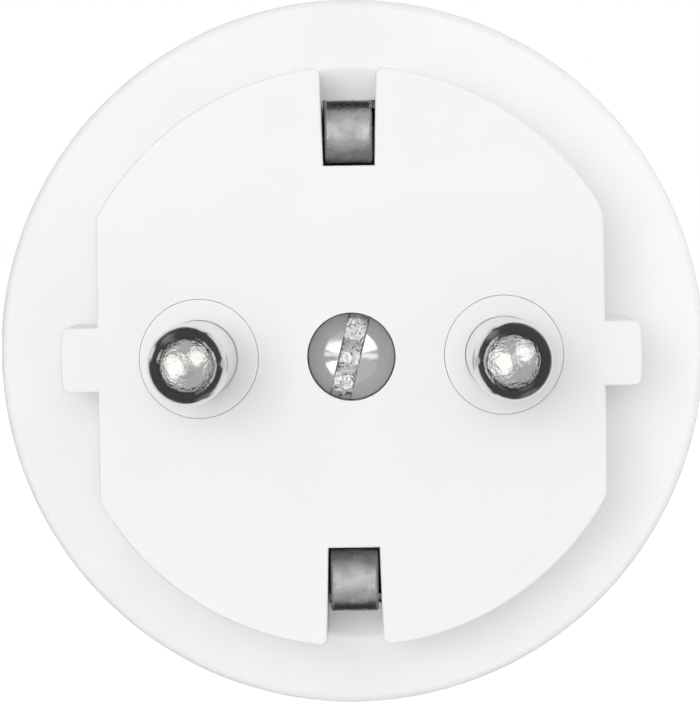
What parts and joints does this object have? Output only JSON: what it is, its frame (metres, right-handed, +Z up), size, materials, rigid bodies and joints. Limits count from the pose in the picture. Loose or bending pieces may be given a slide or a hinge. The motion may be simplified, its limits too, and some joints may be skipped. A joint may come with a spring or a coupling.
{
  "type": "plug in power meter",
  "caption": "Round plug-through energy meter: earthed two-pin plug behind, shuttered socket in front, frosted status ring and a flush side button.",
  "frame": {"origin": "centre of the plug's engagement face, midway between the two pins", "axes": "-Y is the direction the pins point, into the wall socket; +Y faces the user, out of the meter's own socket; +X is the side with the button; +Z is up, through the top earth notch"},
  "size_m": [0.0464, 0.072, 0.0464],
  "materials": {
    "white_housing": "fine satin texture, neutral white",
    "white_socket": "smooth satin, neutral white",
    "white_collar": "smooth satin, neutral white",
    "white_button": "smooth satin, neutral white",
    "frosted_diffuser": "frosted translucent",
    "nickel_pin": "bright nickel plating with fine tool marks",
    "nickel_strip": "dull nickel plating, speckled",
    "chrome_screw": "bright plating, scuffed in the slot",
    "zinc_screw": "zinc plated",
    "grey_inner": "plain moulded",
    "contact_brass": "tinned edges, bare strip",
    "shutter_plastic": "smooth, low friction",
    "spring_steel": "drawn wire",
    "circuit_board": "solder mask",
    "black_case": "satin moulded",
    "yellow_case": "moulded box",
    "capacitor_can": "shrink sleeve over a can",
    "blue_coat": "dipped coating",
    "resistor_coat": "flameproof coating",
    "ferrite": "sintered ferrite",
    "shunt_alloy": "resistance alloy",
    "chip_black": "moulded package",
    "tin_shield": "tin plated",
    "plunger_plastic": "moulded plunger",
    "led_lens": "clear package over phosphor"
  },
  "bodies": {
    "housing": {"rear_cover": "white_housing", "outer_sleeve": "white_housing", "light_ring": "frosted_diffuser", "socket_insert": "white_socket", "pin_collar_left": "white_collar", "pin_collar_right": "white_collar", "line_pin": "nickel_pin", "neutral_pin": "nickel_pin", "centre_screw": "chrome_screw", "earth_bridge": "nickel_strip", "earth_spring_top": "nickel_strip", "earth_spring_bottom": "nickel_strip", "contact_carrier": "grey_inner", "carrier_screws": "zinc_screw", "line_receptacle": "contact_brass", "neutral_receptacle": "contact_brass", "shutter_spring": "spring_steel", "main_board": "circuit_board", "relay": "black_case", "film_capacitor": "yellow_case", "input_capacitor": "capacitor_can", "output_capacitor": "capacitor_can", "varistor": "blue_coat", "fuse_resistor": "resistor_coat", "choke": "ferrite", "shunt": "shunt_alloy", "metering_chip": "chip_black", "power_supply_chip": "chip_black", "switch_board": "circuit_board", "radio_board": "circuit_board", "radio_shield": "tin_shield", "tact_switch": "black_case", "led_board": "circuit_board", "status_leds": "led_lens"},
    "button": {"power_button": "white_button"},
    "switch_plunger": {"tact_plunger": "plunger_plastic"},
    "shutter": {"shutter": "shutter_plastic"}
  },
  "joints": [
    {"name": "button_press", "type": "slide", "parent": "housing", "child": "button", "axis": [-1, 0, 0], "range_m": [0, 0.0006], "stiffness_N_per_m": 1000},
    {"name": "plunger_press", "type": "slide", "parent": "housing", "child": "switch_plunger", "axis": [-1, 0, 0], "range_m": [0, 0.0006]},
    {"name": "shutter_turn", "type": "hinge", "parent": "housing", "child": "shutter", "pos_m": [0, 0.0315, 0], "axis": [0, -1, 0], "range_deg": [0, 40], "stiffness_Nm_per_rad": 0.002, "deforming": ["shutter_spring"]}
  ],
  "couplings": [
    {"joint": "plunger_press", "follows": "button_press", "ratio": 1}
  ]
}
